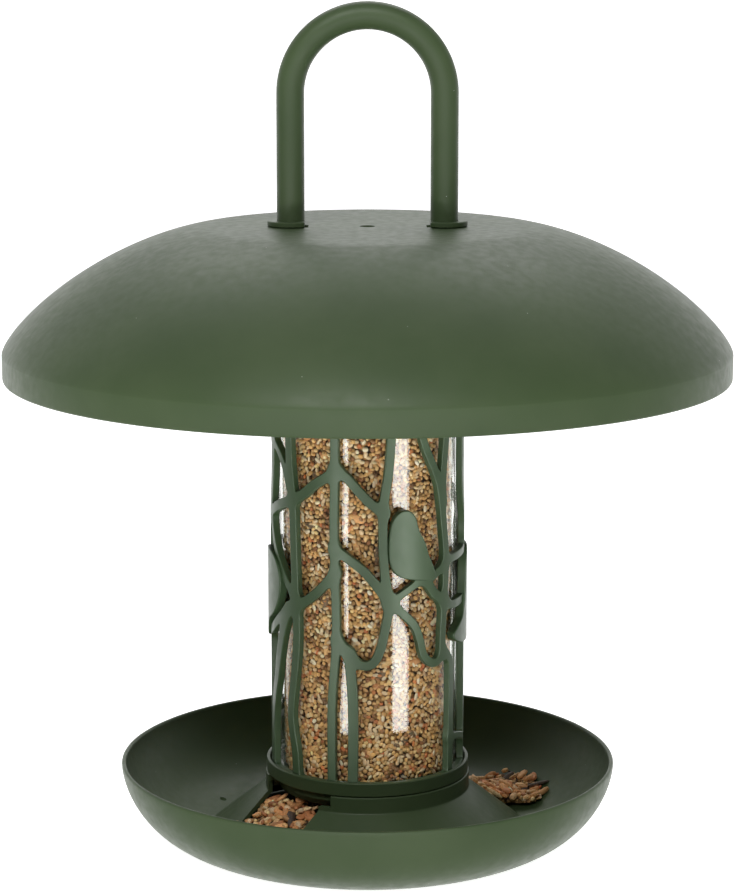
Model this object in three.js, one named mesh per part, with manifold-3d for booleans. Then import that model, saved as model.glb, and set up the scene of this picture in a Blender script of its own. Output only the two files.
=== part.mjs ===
// Hanging seed feeder: dome roof with a U handle, clear seed tube in an openwork branch sleeve, round tray.
// Millimetres, +Z up. The origin is at the centre of the tray's flat bottom.
// The handle stands in the XZ plane. Angles round the silo are in degrees from the front (-Y) towards +X.

import * as THREE from 'three';
import { mergeVertices } from 'three/addons/utils/BufferGeometryUtils.js';
import Module from 'manifold-3d';

const wasm = await Module();
wasm.setup();

// ---------- driving dimensions ----------

const ROUND = 40; // facets in a full turn
const GAP = 0.3; // clearance between touching pieces

const TRAY_RADIUS = 103.9;
const TRAY_HEIGHT = 36.1;
const TRAY_WALL = 1.8;
const TRAY_FLAT = 44; // radius of the flat floor
const TRAY_CURVE = [3.24, 1.65]; // exponents of the wall's curve, outwards and upwards
const DRAIN_RADIUS = 1.5;
const DRAIN_CIRCLE = 74;
const DRAIN_COUNT = 6;
const DRAIN_START = -121;
const TONGUE_RADII = [62, 64.4]; // tongues that hold the cone down in slots of the floor
const TONGUE_Z = [1.2, 5.6];
const TONGUE_SPAN = 12;
const TONGUE_ANGLES = [11.5, 71.5, 191.5, 251.5];

const CONE_SLOPE = 0.8; // fall for each unit outwards
const CONE_FOOT_Z = 3.8;
const NECK_RADIUS = 43;
const NECK_WALL = 2;
const NECK_FOOT_Z = 23.7;
const NECK_TOP_Z = 30.4;
const FLANGE_RADIUS = 38; // inner radius of the bayonet flange
const FLANGE_UNDER_Z = 27.8;
// Each outlet is an opening in the neck above a slot in the cone, with the slot's one side set in.
const OUTLET_WIDTH = 40;
const OUTLET_SET_IN = 5;
const OUTLET_STEP_Z = 25.5;
const OUTLET_ANGLE = -48.5;
const SPREADER = [[34, 3.5], [13, 12], [6, 14.6], [0, 15.4]]; // from its edge to its rounded tip

const BAYONET_TURN = 30;
const LUG_ANGLES = [-90, 30, 150];
const LUG_SPAN = 20;
const LUG_CLEARANCE = 0.4; // play round the lugs and the skirt
const LUG_HEIGHT = 2.8;
const LUG_REACH = 2.6; // past the skirt
const SKIRT_WALL = 1.8;

const COLLAR_RADIUS = 42.6;
const COLLAR_TOP_Z = 36.5;
const COLLAR_FLOOR_Z = 33;
const COLLAR_BORE = 34;

const TUBE_RADIUS = 37;
const TUBE_WALL = 1.6;
const SLEEVE_RADIUS = 40.5;
const SLEEVE_WALL = 2.9;
const SLEEVE_TOP_Z = 250.1;
const BIRD_PROUD = 1.2;
const TOP_BAND = 6; // height of the sleeve's closed ring at the top

const RING_RADIUS = 42.4;
const RING_BORE = 24;
const RING_UNDER_Z = SLEEVE_TOP_Z + GAP;
const RING_PLATE = 2.2;
const RING_SKIRT = 5.4; // how far the ring's skirt reaches down over the sleeve
const RING_SLOT = [25.6, 35]; // near and far end of a prong's slot, from the axis

const ROOF_RADIUS = 150;
const ROOF_RIM_Z = 200;
const ROOF_SKIRT_Z = 210.7; // where the skirt turns into the dome
const ROOF_TOP_Z = 261;
const ROOF_FLAT = 66; // radius of the flat centre
const ROOF_WALL = 2.2;
const ROOF_CURVE = [1.56, 1.31]; // exponents of the dome's curve, outwards and upwards
const ROOF_SLOT = [24.2, 34.8]; // runs on inwards from the legs, which are squeezed to free the prongs
const RIB_WALL = 1.6;
const RIB_HEIGHT = 4;
const DIMPLE_RADIUS = 3.2;
const DIMPLE_DEPTH = 1;

const ROD_RADIUS = 5.7;
const ARCH_RADIUS = 31.43; // also half the distance between the legs
const ARCH_CENTRE_Z = 315.1;
const FOOT_RADIUS = 9.6;
const FOOT_HEIGHT = 2.2;
const PRONG_WIDTH = 8;
const PRONG_DEPTH = 4.4;
const PRONG_NOSE = 34.4; // reach of the catch, from the axis
const PRONG_NOSE_HEIGHT = 5.4;

const SEED_FOOT_Z = 17;
const SEED_TOP_Z = 236;

// ---------- materials ----------

const matte = (color, roughness) => new THREE.MeshStandardMaterial({ color, roughness, metalness: 0 });
const GREEN = matte(0x4f5f47, 0.55);
const DARK_GREEN = matte(0x2c352b, 0.6);
const SEED = matte(0xb58a55, 0.85);
const CLEAR = matte(0xf2f4f2, 0.06);
CLEAR.transparent = true;
CLEAR.opacity = 0.3;

// ---------- general shape helpers ----------

const radians = THREE.MathUtils.degToRad;

// Joins shared vertices, drops triangles with no area and turns every face outwards.
function closed(geometry) {
  geometry.deleteAttribute('normal');
  geometry.deleteAttribute('uv');
  const welded = mergeVertices(geometry, 1e-4);
  const index = Array.from(welded.index.array);
  const place = welded.attributes.position;
  const corner = [new THREE.Vector3(), new THREE.Vector3(), new THREE.Vector3()];
  const faces = [];
  let volume = 0;
  for (let i = 0; i < index.length; i += 3) {
    const face = index.slice(i, i + 3);
    if (new Set(face).size < 3) continue;
    faces.push(face);
    face.forEach((vertex, k) => corner[k].fromBufferAttribute(place, vertex));
    volume += corner[0].dot(corner[1].clone().cross(corner[2]));
  }
  if (volume < 0) faces.forEach((face) => face.reverse());
  welded.setIndex(faces.flat());
  return welded;
}

function toSolid(geometry) {
  const body = closed(geometry);
  const vertProperties = new Float32Array(body.attributes.position.array);
  const triVerts = new Uint32Array(body.index.array);
  return new wasm.Manifold(new wasm.Mesh({ numProp: 3, vertProperties, triVerts }));
}

function toGeometry(solid) {
  const mesh = solid.getMesh();
  const geometry = new THREE.BufferGeometry();
  geometry.setAttribute('position', new THREE.BufferAttribute(new Float32Array(mesh.vertProperties), 3));
  geometry.setIndex(new THREE.BufferAttribute(new Uint32Array(mesh.triVerts), 1));
  return geometry;
}

// A profile of [radius, height] points turned about Z. It closes on itself or ends on the axis.
function lathe(profile) {
  const points = profile.map(([r, z]) => new THREE.Vector2(r, z));
  const touchesAxis = profile[0][0] === 0;
  if (!touchesAxis) points.push(points[0]);
  return closed(new THREE.LatheGeometry(points, ROUND).rotateX(Math.PI / 2));
}

// A closed skin through rings of equal point counts, with a flat fan over each end.
function loft(rings) {
  const count = rings[0].length;
  const index = [];
  for (let i = 0; i + 1 < rings.length; i += 1) {
    for (let k = 0; k < count; k += 1) {
      const a = i * count + k;
      const b = i * count + ((k + 1) % count);
      index.push(a, b, a + count, b, b + count, a + count);
    }
  }
  const last = (rings.length - 1) * count;
  for (let k = 1; k + 1 < count; k += 1) {
    index.push(0, k + 1, k, last, last + k, last + k + 1);
  }
  const geometry = new THREE.BufferGeometry();
  geometry.setAttribute('position', new THREE.Float32BufferAttribute(rings.flat(2), 3));
  geometry.setIndex(index);
  return closed(geometry);
}

function onCylinder(radius, degrees, z) {
  const angle = radians(degrees);
  return [radius * Math.sin(angle), -radius * Math.cos(angle), z];
}

// A block bounded by two radii, two heights and two angles.
function arcBlock(r0, r1, z0, z1, from, to, steps = 4) {
  const rings = [];
  for (let i = 0; i <= steps; i += 1) {
    const angle = from + ((to - from) * i) / steps;
    rings.push([
      onCylinder(r0, angle, z0),
      onCylinder(r1, angle, z0),
      onCylinder(r1, angle, z1),
      onCylinder(r0, angle, z1),
    ]);
  }
  return loft(rings);
}

function box(x0, x1, y0, y1, z0, z1) {
  const geometry = new THREE.BoxGeometry(x1 - x0, y1 - y0, z1 - z0);
  return geometry.translate((x0 + x1) / 2, (y0 + y1) / 2, (z0 + z1) / 2);
}

const part = new THREE.Group();

function add(name, geometry, material) {
  const mesh = new THREE.Mesh(geometry, material);
  mesh.name = name;
  part.add(mesh);
}

// ---------- tray ----------

// A flat centre that turns up into a steep rim: 0 at the flat's edge, 1 at the rim.
function dishRise(radius, flat, rim, [outwards, upwards]) {
  const along = Math.max(0, (radius - flat) / (rim - flat));
  return 1 - (1 - along ** outwards) ** (1 / upwards);
}

// Radii that crowd towards the rim, where the wall is steep.
function crowdedRadii(flat, rim, steps) {
  const share = (i) => Math.sin((Math.PI / 2) * (i / steps));
  return Array.from({ length: steps + 1 }, (_, i) => flat + (rim - flat) * share(i));
}

function trayFloor(radius) {
  const rise = dishRise(radius, TRAY_FLAT, TRAY_RADIUS - TRAY_WALL, TRAY_CURVE);
  return TRAY_WALL + (TRAY_HEIGHT - TRAY_WALL) * rise;
}

function tray() {
  const outer = crowdedRadii(TRAY_FLAT, TRAY_RADIUS, 8).map((r) => [
    r,
    TRAY_HEIGHT * dishRise(r, TRAY_FLAT, TRAY_RADIUS, TRAY_CURVE),
  ]);
  const inner = crowdedRadii(TRAY_FLAT, TRAY_RADIUS - TRAY_WALL, 8).map((r) => [r, trayFloor(r)]);
  let dish = toSolid(lathe([[0, 0], ...outer, ...inner.reverse(), [0, TRAY_WALL]]));
  for (let i = 0; i < DRAIN_COUNT; i += 1) {
    const [x, y] = onCylinder(DRAIN_CIRCLE, DRAIN_START + (360 / DRAIN_COUNT) * i, 0);
    const drill = new THREE.CylinderGeometry(DRAIN_RADIUS, DRAIN_RADIUS, 20, 8).rotateX(Math.PI / 2);
    dish = dish.subtract(toSolid(drill.translate(x, y, 0)));
  }
  for (const angle of TONGUE_ANGLES) {
    dish = dish.subtract(toSolid(tongue(angle, GAP)));
  }
  return toGeometry(dish);
}

// A tongue under the cone's foot, or the slot for it when grown by a clearance.
function tongue(angle, grow) {
  const [inner, outer] = TONGUE_RADII;
  const [bottom, top] = TONGUE_Z;
  const half = TONGUE_SPAN / 2 + grow;
  return arcBlock(inner - grow, outer + grow, grow ? -1 : bottom, top, angle - half, angle + half, 2);
}

// ---------- feed cone and spreader ----------

function coneRadius(z) {
  return NECK_RADIUS + (NECK_FOOT_Z - z) / CONE_SLOPE;
}

function feedCone() {
  const wall = NECK_WALL * Math.hypot(1, 1 / CONE_SLOPE);
  let cone = toSolid(
    lathe([
      [coneRadius(CONE_FOOT_Z), CONE_FOOT_Z],
      [NECK_RADIUS, NECK_FOOT_Z],
      [NECK_RADIUS, NECK_TOP_Z],
      [FLANGE_RADIUS, NECK_TOP_Z],
      [FLANGE_RADIUS, FLANGE_UNDER_Z],
      [NECK_RADIUS - NECK_WALL, FLANGE_UNDER_Z],
      [NECK_RADIUS - NECK_WALL, NECK_FOOT_Z - 1],
      [coneRadius(CONE_FOOT_Z) - wall, CONE_FOOT_Z],
    ])
  );
  for (const angle of TONGUE_ANGLES) {
    cone = cone.add(toSolid(tongue(angle, 0)));
  }
  const half = OUTLET_WIDTH / 2;
  const reach = coneRadius(0);
  const notchInner = FLANGE_RADIUS + LUG_REACH;
  const notchSpan = (Math.asin(half / NECK_RADIUS) * 180) / Math.PI;
  for (const angle of [OUTLET_ANGLE, OUTLET_ANGLE + 180]) {
    const opening = box(-half, half, -reach, 0, OUTLET_STEP_Z, FLANGE_UNDER_Z);
    const slot = box(-half, half - OUTLET_SET_IN, -reach, 0, 0, OUTLET_STEP_Z + 1);
    cone = cone.subtract(toSolid(opening.rotateZ(radians(angle))));
    cone = cone.subtract(toSolid(slot.rotateZ(radians(angle))));
    // The opening goes on as a notch up to the neck's top, outside the flange that the lugs hold.
    const sides = [angle - notchSpan, angle + notchSpan];
    const notch = arcBlock(notchInner, NECK_RADIUS + 1, FLANGE_UNDER_Z - 1, NECK_TOP_Z + 1, ...sides, 12);
    cone = cone.subtract(toSolid(notch));
  }
  // The lugs pass these slots once the silo has turned by the bayonet's angle.
  const slotOuter = FLANGE_RADIUS + LUG_REACH + GAP;
  for (const angle of LUG_ANGLES) {
    const from = angle + BAYONET_TURN - LUG_SPAN / 2 - 2;
    const to = angle + BAYONET_TURN + LUG_SPAN / 2 + 2;
    const slot = arcBlock(COLLAR_BORE, slotOuter, FLANGE_UNDER_Z - 1, NECK_TOP_Z + 1, from, to);
    cone = cone.subtract(toSolid(slot));
  }
  return toGeometry(cone);
}

function seedSpreader() {
  const foot = TRAY_WALL + GAP;
  return lathe([[0, foot], [SPREADER[0][0], foot], ...SPREADER]);
}

// ---------- silo ----------

function siloCollar() {
  const lugTop = FLANGE_UNDER_Z - LUG_CLEARANCE;
  const skirtBottom = lugTop - LUG_HEIGHT;
  const skirtOuter = FLANGE_RADIUS - LUG_CLEARANCE;
  const skirtInner = skirtOuter - SKIRT_WALL;
  const under = NECK_TOP_Z + GAP;
  const grooveOuter = SLEEVE_RADIUS + 0.6;
  let collar = toSolid(
    lathe([
      [COLLAR_RADIUS, under],
      [COLLAR_RADIUS, COLLAR_TOP_Z],
      [grooveOuter, COLLAR_TOP_Z],
      [grooveOuter, COLLAR_FLOOR_Z],
      [COLLAR_BORE, COLLAR_FLOOR_Z],
      [COLLAR_BORE, under],
      [skirtInner, under],
      [skirtInner, skirtBottom],
      [skirtOuter, skirtBottom],
      [skirtOuter, under],
    ])
  );
  const half = LUG_SPAN / 2;
  for (const angle of LUG_ANGLES) {
    const lugOuter = skirtOuter + LUG_REACH;
    const lug = arcBlock(skirtOuter - 1, lugOuter, skirtBottom, lugTop, angle - half, angle + half);
    collar = collar.add(toSolid(lug));
  }
  return toGeometry(collar);
}

function pipe(outer, wall, bottom, top) {
  return lathe([
    [outer, bottom],
    [outer, top],
    [outer - wall, top],
    [outer - wall, bottom],
  ]);
}

// Branches of one half of the sleeve: [width, [angle, height], ...]. The other half repeats them.
const TOP = 252;
const FOOT = 30;
const BRANCHES = [
  // trunks, from left to right
  [4.6, [-78, TOP], [-75, 200], [-75, 172], [-77, 157], [-82, 146], [-90, 134]],
  [5, [-78, FOOT], [-78, 52], [-75, 64], [-69, 76], [-65, 87], [-60, 97], [-54, 106]],
  [4.2, [-47, FOOT], [-48, 44], [-51, 54], [-52, 63], [-48, 83], [-46.6, 98],
    [-48.4, 125], [-50, 151], [-53.5, 178], [-50, 212], [-46, TOP]],
  [3.7, [-21.5, FOOT], [-21.5, 68], [-18.7, 98], [-20, 140], [-19.5, 168], [-20, 190],
    [-24, 215], [-22, TOP]],
  [4.3, [-8.8, FOOT], [-8.6, 68], [-11, 91]],
  [3.8, [13, TOP], [15, 205], [13, 170], [10, 155], [9, 142], [10, 125], [12.8, 112],
    [10.5, 101], [7.5, 92], [3, 86.5], [-4, 86], [-10.5, 90], [-18, 96]],
  [3.9, [58, FOOT], [59.5, 76], [56.5, 85], [50.5, 89], [51.5, 106], [53.5, 127],
    [50.3, 147], [50.5, 162], [53.5, 180], [59, 212], [60, TOP]],
  [4.4, [86, TOP], [80, 200], [78, 170], [80, 152], [90, 134], [90, 104], [86, 78], [88, FOOT]],
  // cross branches on the left
  [3.2, [-77, 175], [-68, 172], [-60, 167], [-53, 157]],
  [4.2, [-88, 139], [-72, 146], [-45, 153.5], [-32, 160], [-19.5, 165.5]],
  [3.6, [-81, 144], [-73, 132], [-63, 122.5], [-47, 110]],
  [4, [-90, 91.5], [-77, 94.5], [-55, 105], [-42, 109.5], [-31, 115], [-19, 124]],
  // cross branches in the middle
  [3.9, [-19, 167], [-12, 163.5], [-5, 158], [2, 153], [10, 149]],
  [3.8, [-20, 134], [-10, 129.5], [0, 123.5], [13, 111.5]],
  [3, [13, 111.5], [23, 116], [33, 120]],
  [4.2, [33, 121], [38, 118], [44, 113], [52, 109]],
  [3.6, [13, 112], [21, 107], [28.5, 101.5], [32.5, 95], [35, 88.5], [40, 84.8], [46, 84.5], [52, 88]],
  // cross branches on the right
  [3.6, [50.5, 151], [46.5, 159.5], [42, 166.5], [36, 175], [27, 192], [15, 208]],
  [3.4, [42, 121], [48, 123], [56, 126], [65, 126.5], [84, 127]],
  [3.6, [52, 109.5], [58, 107], [67, 106.5], [88, 107]],
  [3, [58.5, 50], [70, 49], [88, 45]],
];

// Birds of one half: middle [angle, height], half width, half height and lean in degrees.
const BIRDS = [
  { middle: [21.5, 135], size: [7.2, 14.5], lean: 24 },
  { middle: [96, 110], size: [12, 18], lean: -28 },
];

const BIRD_CORNERS = 14;

const HALF_TURNS = [0, 180];

// A branch as a bar that passes through the sleeve's wall from inside to outside.
function branchBar([width, ...points], turn) {
  const inner = SLEEVE_RADIUS - SLEEVE_WALL - 3;
  const outer = SLEEVE_RADIUS + 3;
  const perDegree = radians(SLEEVE_RADIUS);
  const flat = points.map(([angle, z]) => new THREE.Vector2(angle * perDegree, z));
  const rings = flat.map((point, i) => {
    const before = flat[Math.max(0, i - 1)];
    const after = flat[Math.min(flat.length - 1, i + 1)];
    const along = after.clone().sub(before).normalize();
    const side = new THREE.Vector2(-along.y, along.x).multiplyScalar(width / 2);
    const corners = [point.clone().add(side), point.clone().sub(side)];
    const [left, right] = corners.map((corner) => [corner.x / perDegree + turn, corner.y]);
    return [
      onCylinder(inner, ...left),
      onCylinder(outer, ...left),
      onCylinder(outer, ...right),
      onCylinder(inner, ...right),
    ];
  });
  return toSolid(loft(rings));
}

// A bird is an oval plate that stands a little proud of the branches.
function birdPlate({ middle, size, lean }, turn) {
  const perDegree = radians(SLEEVE_RADIUS);
  const tilt = radians(lean);
  const corners = Array.from({ length: BIRD_CORNERS }, (_, k) => {
    const around = (k / BIRD_CORNERS) * 2 * Math.PI;
    const x = size[0] * Math.cos(around);
    const y = size[1] * Math.sin(around);
    const across = x * Math.cos(tilt) - y * Math.sin(tilt);
    const up = x * Math.sin(tilt) + y * Math.cos(tilt);
    return [middle[0] - across / perDegree + turn, middle[1] - up];
  });
  const radii = [SLEEVE_RADIUS - SLEEVE_WALL + 0.3, SLEEVE_RADIUS + BIRD_PROUD];
  return toSolid(loft(radii.map((radius) => corners.map(([angle, z]) => onCylinder(radius, angle, z)))));
}

function branchSleeve() {
  const bottom = COLLAR_FLOOR_Z + GAP;
  const bore = SLEEVE_RADIUS - SLEEVE_WALL;
  const bars = HALF_TURNS.flatMap((turn) => BRANCHES.map((branch) => branchBar(branch, turn)));
  const wall = (from, to) => toSolid(pipe(SLEEVE_RADIUS, SLEEVE_WALL, from, to));
  let sleeve = wall(bottom, SLEEVE_TOP_Z).intersect(wasm.Manifold.union(bars));
  sleeve = sleeve.add(wall(bottom, COLLAR_TOP_Z - 0.6));
  sleeve = sleeve.add(wall(SLEEVE_TOP_Z - TOP_BAND, SLEEVE_TOP_Z));
  const hollow = toSolid(lathe([[0, bottom], [bore, bottom], [bore, SLEEVE_TOP_Z], [0, SLEEVE_TOP_Z]]));
  for (const turn of HALF_TURNS) {
    for (const bird of BIRDS) {
      sleeve = sleeve.add(birdPlate(bird, turn).subtract(hollow));
    }
  }
  return toGeometry(sleeve);
}

function topRing() {
  const skirtInner = SLEEVE_RADIUS + 0.4;
  const plateTop = RING_UNDER_Z + RING_PLATE;
  const top = ROOF_TOP_Z - ROOF_WALL - GAP;
  let ring = toSolid(
    lathe([
      [RING_BORE, RING_UNDER_Z],
      [skirtInner, RING_UNDER_Z],
      [skirtInner, RING_UNDER_Z - RING_SKIRT],
      [RING_RADIUS, RING_UNDER_Z - RING_SKIRT],
      [RING_RADIUS, top],
      [RING_RADIUS - 2, top],
      [RING_RADIUS - 2, plateTop],
      [RING_BORE, plateTop],
    ])
  );
  for (const side of [-1, 1]) {
    ring = ring.subtract(toSolid(prongSlot(side, RING_SLOT, RING_UNDER_Z - 1, plateTop + 1)));
  }
  return toGeometry(ring);
}

// ---------- roof and handle ----------

function roofSurface(radius, rim, top) {
  const fall = dishRise(radius, ROOF_FLAT, rim, ROOF_CURVE);
  return top - (top - ROOF_SKIRT_Z) * fall;
}

function prongSlot(side, [near, far], bottom, top) {
  const half = PRONG_WIDTH / 2 + 0.6;
  const [x0, x1] = side > 0 ? [near, far] : [-far, -near];
  return box(x0, x1, -half, half, bottom, top);
}

function roofDome() {
  const innerTop = ROOF_TOP_Z - ROOF_WALL;
  const innerRim = ROOF_RADIUS - ROOF_WALL;
  const curve = (rim, top, steps) =>
    crowdedRadii(ROOF_FLAT, rim, steps).map((r) => [r, roofSurface(r, rim, top)]);
  const outer = curve(ROOF_RADIUS, ROOF_TOP_Z, 9);
  const inner = curve(innerRim, innerTop, 8);
  // A rib below the flat centre keeps the roof in line with the ring on the silo.
  const ribInner = RING_RADIUS + 0.6;
  const rib = [
    [ribInner + RIB_WALL, innerTop],
    [ribInner + RIB_WALL, innerTop - RIB_HEIGHT],
    [ribInner, innerTop - RIB_HEIGHT],
    [ribInner, innerTop],
  ];
  let dome = toSolid(
    lathe([
      [0, ROOF_TOP_Z],
      ...outer,
      [ROOF_RADIUS, ROOF_RIM_Z],
      [innerRim, ROOF_RIM_Z],
      ...inner.reverse(),
      ...rib,
      [0, innerTop],
    ])
  );
  for (const side of [-1, 1]) {
    dome = dome.subtract(toSolid(prongSlot(side, ROOF_SLOT, innerTop - 1, ROOF_TOP_Z + 1)));
  }
  const dimple = new THREE.CylinderGeometry(DIMPLE_RADIUS, DIMPLE_RADIUS, 2 * DIMPLE_DEPTH, 12);
  return toGeometry(dome.subtract(toSolid(dimple.rotateX(Math.PI / 2).translate(0, 0, ROOF_TOP_Z))));
}

// Two legs and a half circle, from the left foot to the right.
class HandlePath extends THREE.Curve {
  constructor(footZ) {
    super();
    this.leg = ARCH_CENTRE_Z - footZ;
    this.arch = Math.PI * ARCH_RADIUS;
  }

  getPoint(t) {
    const along = t * (2 * this.leg + this.arch);
    if (along < this.leg) return new THREE.Vector3(-ARCH_RADIUS, 0, ARCH_CENTRE_Z - this.leg + along);
    if (along > this.leg + this.arch) {
      return new THREE.Vector3(ARCH_RADIUS, 0, ARCH_CENTRE_Z - (along - this.leg - this.arch));
    }
    const angle = Math.PI - (along - this.leg) / ARCH_RADIUS;
    return new THREE.Vector3(ARCH_RADIUS * Math.cos(angle), 0, ARCH_CENTRE_Z + ARCH_RADIUS * Math.sin(angle));
  }
}

// The rod's section, with a flat facet towards the inside of the arch.
function rodSection(sides) {
  const corners = Array.from({ length: sides }, (_, i) => {
    const angle = ((i + 0.5) / sides) * 2 * Math.PI;
    return new THREE.Vector2(ROD_RADIUS * Math.cos(angle), ROD_RADIUS * Math.sin(angle));
  });
  return new THREE.Shape(corners);
}

function footFlange(side, bottom) {
  const cut = Math.acos(ROD_RADIUS / FOOT_RADIUS);
  const outline = new THREE.Shape();
  outline.absarc(0, 0, FOOT_RADIUS, -Math.PI + cut, Math.PI - cut, false);
  outline.closePath();
  const shape = { depth: FOOT_HEIGHT, bevelEnabled: false, curveSegments: 20 };
  const flange = new THREE.ExtrudeGeometry(outline, shape);
  if (side < 0) flange.rotateZ(Math.PI);
  return flange.translate(side * ARCH_RADIUS, 0, bottom);
}

// The prong below a foot. Its nose is drawn squeezed in, clear of the ring's slot.
function prong(side, bottom) {
  const inner = ARCH_RADIUS - ROD_RADIUS + GAP;
  const back = inner + PRONG_DEPTH;
  const catchZ = RING_UNDER_Z - 0.5;
  const tipZ = catchZ - PRONG_NOSE_HEIGHT;
  const outline = [
    [inner, bottom + 1],
    [back, bottom + 1],
    [back, catchZ],
    [PRONG_NOSE, catchZ],
    [back, tipZ],
    [inner, tipZ],
  ];
  const half = PRONG_WIDTH / 2;
  return loft([-half, half].map((y) => outline.map(([x, z]) => [side * x, y, z])));
}

function hangerHandle() {
  const bottom = ROOF_TOP_Z + GAP / 2;
  const rod = new THREE.ExtrudeGeometry(rodSection(12), {
    steps: 31,
    bevelEnabled: false,
    extrudePath: new HandlePath(bottom + 0.5),
  });
  let handle = toSolid(rod);
  for (const side of [-1, 1]) {
    handle = handle.add(toSolid(footFlange(side, bottom)));
    handle = handle.add(toSolid(prong(side, bottom)));
  }
  return toGeometry(handle);
}

// ---------- seed ----------

function seedColumn() {
  const inTube = TUBE_RADIUS - TUBE_WALL - 0.4;
  const inCollar = COLLAR_BORE - 0.8;
  return lathe([
    [0, SEED_FOOT_Z],
    [inCollar, SEED_FOOT_Z],
    [inCollar, COLLAR_FLOOR_Z - 0.4],
    [inTube, COLLAR_FLOOR_Z + 0.6],
    [inTube, SEED_TOP_Z - 2],
    [0, SEED_TOP_Z],
  ]);
}

// Slices through a pile of seed: distance from the axis, middle, half width and height of the top.
const PILE_MIDDLE = OUTLET_SET_IN / 2;
const PILE_IN_SLOT = [
  [36, PILE_MIDDLE, 16, 23.4],
  [42, PILE_MIDDLE, 16.2, 21.6],
  [50, PILE_MIDDLE, 16.4, 17.2],
  [58, PILE_MIDDLE, 16.5, 14.2],
  [66, PILE_MIDDLE, 16.5, 11.4],
];
const FRONT_SPILL = [
  [74, PILE_MIDDLE, 19, 8.8],
  [80, PILE_MIDDLE, 17, 7],
  [84, PILE_MIDDLE, 11, 6.4],
];
const REAR_SPILL = [
  [68.5, 7, 21, 10.6],
  [74, 9.5, 21.5, 9.4],
  [80, 9, 17, 8],
  [86, 7, 8, 6.8],
];

const PILE_CLEARANCE = 1; // above the faceted tray

// The seed in an outlet's slot and what has run out over the tray's rising floor.
function seedPile(angle, spill) {
  const across = [-1, -0.5, 0, 0.5, 1];
  const slices = [...PILE_IN_SLOT, ...spill].map(([out, middle, half, top]) => {
    const aside = (v) => middle + v * half;
    const clear = (v) => trayFloor(Math.hypot(out, aside(v))) + PILE_CLEARANCE;
    const under = across.map((v) => [aside(v), out, clear(v)]);
    const over = across.map((v) => [aside(v), out, Math.max(top - 3 * v * v, clear(v) + 1)]);
    return [...under, ...over.reverse()];
  });
  return loft(slices).rotateZ(Math.PI + radians(angle));
}

// ---------- the assembly ----------

add('tray', tray(), GREEN);
add('feed_cone', feedCone(), DARK_GREEN);
add('seed_spreader', seedSpreader(), DARK_GREEN);
add('seed_pile_front', seedPile(OUTLET_ANGLE, FRONT_SPILL), SEED);
add('seed_pile_rear', seedPile(OUTLET_ANGLE + 180, REAR_SPILL), SEED);
add('silo_collar', siloCollar(), GREEN);
add('branch_sleeve', branchSleeve(), GREEN);
add('clear_tube', pipe(TUBE_RADIUS, TUBE_WALL, COLLAR_FLOOR_Z + GAP, SLEEVE_TOP_Z), CLEAR);
add('seed_column', seedColumn(), SEED);
add('top_ring', topRing(), GREEN);
add('roof_dome', roofDome(), GREEN);
add('hanger_handle', hangerHandle(), GREEN);

export default part;
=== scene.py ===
"""The looks of a hanging seed feeder: dome roof, U handle, clear seed tube in a branch sleeve, round tray.

Shapes are worked out in millimetres, and the meshes and the studio round them are in metres. +Z is up and -Y
is the front. Angles round the silo are in degrees from the front towards +X.
"""

import math

import bmesh
import bpy
import numpy as np
from mathutils import Matrix, Vector
from mathutils.bvhtree import BVHTree


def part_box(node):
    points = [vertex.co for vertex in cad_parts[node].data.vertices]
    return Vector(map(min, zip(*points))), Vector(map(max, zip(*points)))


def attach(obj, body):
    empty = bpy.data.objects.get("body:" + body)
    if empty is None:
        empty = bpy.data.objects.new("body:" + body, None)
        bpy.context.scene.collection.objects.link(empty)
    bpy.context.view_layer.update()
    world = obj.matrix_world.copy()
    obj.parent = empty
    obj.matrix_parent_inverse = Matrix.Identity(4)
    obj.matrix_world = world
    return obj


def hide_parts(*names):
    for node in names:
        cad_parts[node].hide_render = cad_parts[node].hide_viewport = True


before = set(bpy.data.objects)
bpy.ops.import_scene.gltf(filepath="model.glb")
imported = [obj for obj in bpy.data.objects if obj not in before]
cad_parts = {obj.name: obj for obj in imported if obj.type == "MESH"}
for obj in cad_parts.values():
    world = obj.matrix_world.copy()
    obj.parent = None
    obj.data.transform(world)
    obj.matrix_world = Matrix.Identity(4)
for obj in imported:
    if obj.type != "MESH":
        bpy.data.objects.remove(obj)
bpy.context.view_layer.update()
MM = 0.001


# ---------- sizes, from the frame where its boxes give them ----------


def low(node):
    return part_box(node)[0] / MM


def high(node):
    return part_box(node)[1] / MM


GAP = 0.3
SEGMENTS = 144  # facets of a full turn

TRAY_RADIUS = high("tray").x
TRAY_HEIGHT = high("tray").z
TRAY_WALL = 1.8
TRAY_FLAT = 44
TRAY_CURVE = (3.24, 1.65)
DRAIN_RADIUS = 1.5
DRAIN_CIRCLE = 74
DRAIN_COUNT = 6
DRAIN_START = -121
TONGUE_RADII = (62, 64.4)
TONGUE_Z = (1.2, 5.6)
TONGUE_SPAN = 12
TONGUE_ANGLES = (11.5, 71.5, 191.5, 251.5)

CONE_SLOPE = 0.8
CONE_FOOT_Z = 3.8
CONE_FOOT_RADIUS = high("feed_cone").x
NECK_RADIUS = 43
NECK_WALL = 2
NECK_TOP_Z = high("feed_cone").z
NECK_FOOT_Z = CONE_FOOT_Z + CONE_SLOPE * (CONE_FOOT_RADIUS - NECK_RADIUS)
FLANGE_RADIUS = 38
FLANGE_UNDER_Z = 27.8
OUTLET_WIDTH = 40
OUTLET_SET_IN = 5  # how far one side of the slot in the cone is set in from the neck's opening
OUTLET_STEP_Z = 25.5
OUTLET_ANGLE = -48.5
SPREADER = ((34, 3.5), (13, 12), (6, 14.6), (0, 15.4))

BAYONET_TURN = 30
LUG_ANGLES = (-90, 30, 150)
LUG_SPAN = 20
LUG_HEIGHT = 2.8
LUG_REACH = 2.6
SKIRT_WALL = 1.8

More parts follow.
